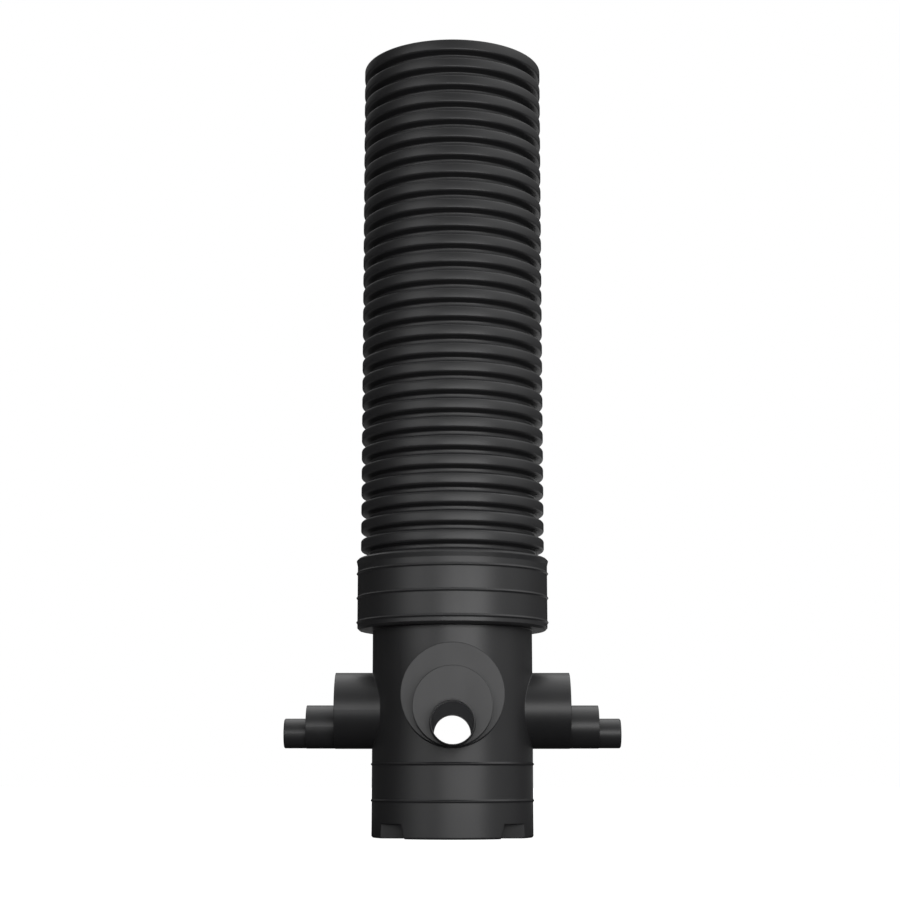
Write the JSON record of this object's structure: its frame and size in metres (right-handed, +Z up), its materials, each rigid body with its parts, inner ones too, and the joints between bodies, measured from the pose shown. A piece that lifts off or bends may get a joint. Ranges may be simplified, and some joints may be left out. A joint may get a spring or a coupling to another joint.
{
  "type": "catchpit chamber",
  "caption": "Black plastic catchpit chamber with a sump base, stepped pipe spigots on four sides and a tall corrugated riser.",
  "frame": {"origin": "centre of the foot's underside, on the axis of the riser", "axes": "+Z up along the riser, -Y towards the front spigot, +Y towards the outlet, +X to the right spigot seen from the front"},
  "size_m": [1.254, 1.17, 2.9802],
  "materials": {
    "black_plastic": "satin",
    "riser_plastic": "satin",
    "rubber": "matte"
  },
  "bodies": {
    "root": {"base_chamber": "black_plastic", "riser_pipe": "riser_plastic", "riser_seal": "rubber"}
  },
  "joints": []
}
